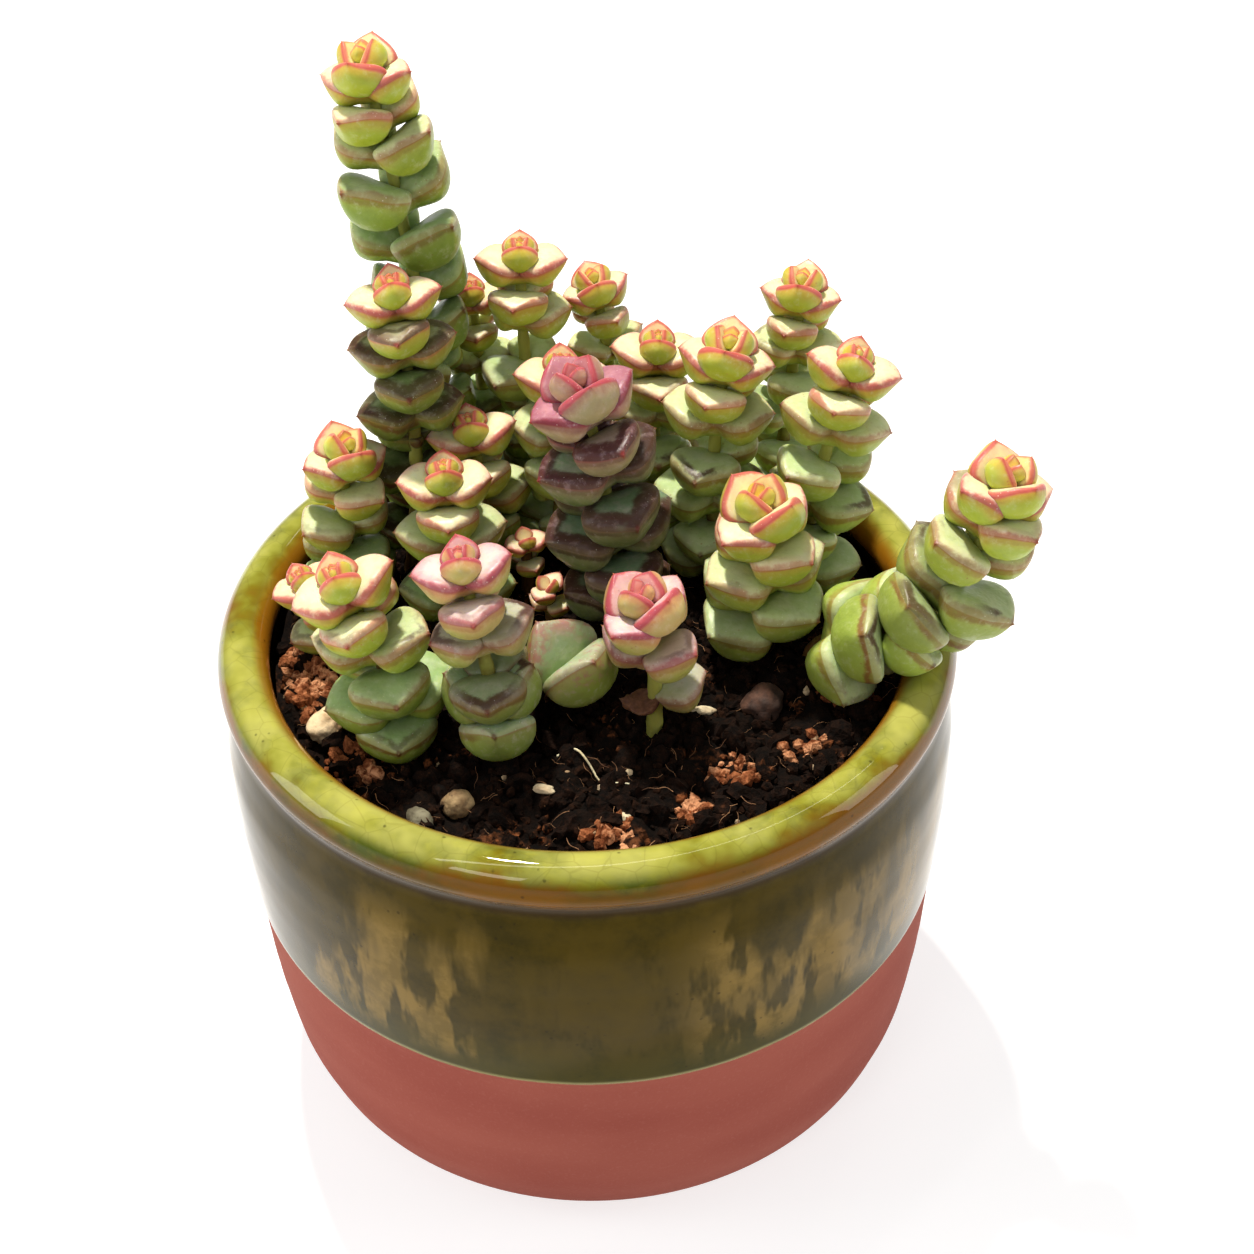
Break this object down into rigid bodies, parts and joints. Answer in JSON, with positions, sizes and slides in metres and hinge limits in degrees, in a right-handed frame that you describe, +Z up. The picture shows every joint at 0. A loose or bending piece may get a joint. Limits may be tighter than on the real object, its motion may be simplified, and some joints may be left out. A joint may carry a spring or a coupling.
{
  "type": "potted string of buttons",
  "caption": "Potted string of buttons: upright stems of stacked, red-edged succulent leaves growing from soil in a round clay pot, glazed above and bare below.",
  "frame": {"origin": "centre of the pot's flat base", "axes": "+Z up the pot's axis, -Y towards the side that faces the viewer in the picture, +X to the right"},
  "size_m": [0.1314, 0.1208, 0.1748],
  "materials": {
    "glazed_clay": "glossy olive glaze on the upper half, yellower on the rim, bare matt pink terracotta below",
    "soil": "dark crumbly peat with fibres, dull",
    "leaf": "waxy green succulent leaf with a pink-red edge, satin",
    "purple_leaf": "waxy green succulent leaf flushed dusky purple, satin",
    "pink_leaf": "powdery pale green succulent leaf flushed pink, satin",
    "stone": "rough dull gravel"
  },
  "bodies": {
    "root": {"pot": "glazed_clay", "soil": "soil", "stone_cream": "stone", "stone_tan": "stone", "stone_grey": "stone", "stone_brown": "stone", "stone_small": "stone", "stone_rim_right": "stone", "leafy_stem_tall": "leaf", "leafy_stem_left_back": "leaf", "leafy_stem_back_left": "leaf", "leafy_stem_back_small": "leaf", "leafy_stem_back_middle": "leaf", "leafy_stem_back_right": "leaf", "leafy_stem_far_right": "leaf", "leafy_stem_right_back": "leaf", "leafy_stem_leaning": "leaf", "leafy_stem_purple": "purple_leaf", "leafy_stem_lime": "leaf", "leafy_stem_mid_left": "leaf", "leafy_stem_left": "leaf", "leafy_stem_mid_front": "leaf", "leafy_stem_front_left": "leaf", "leafy_stem_rim_left": "leaf", "leafy_stem_front_pink": "pink_leaf", "leafy_stem_front_low": "pink_leaf", "leafy_stem_front_small": "pink_leaf", "leafy_stem_right": "leaf", "leafy_stem_hidden_back": "leaf", "side_shoot_middle": "leaf", "side_shoot_front": "leaf"}
  },
  "joints": []
}
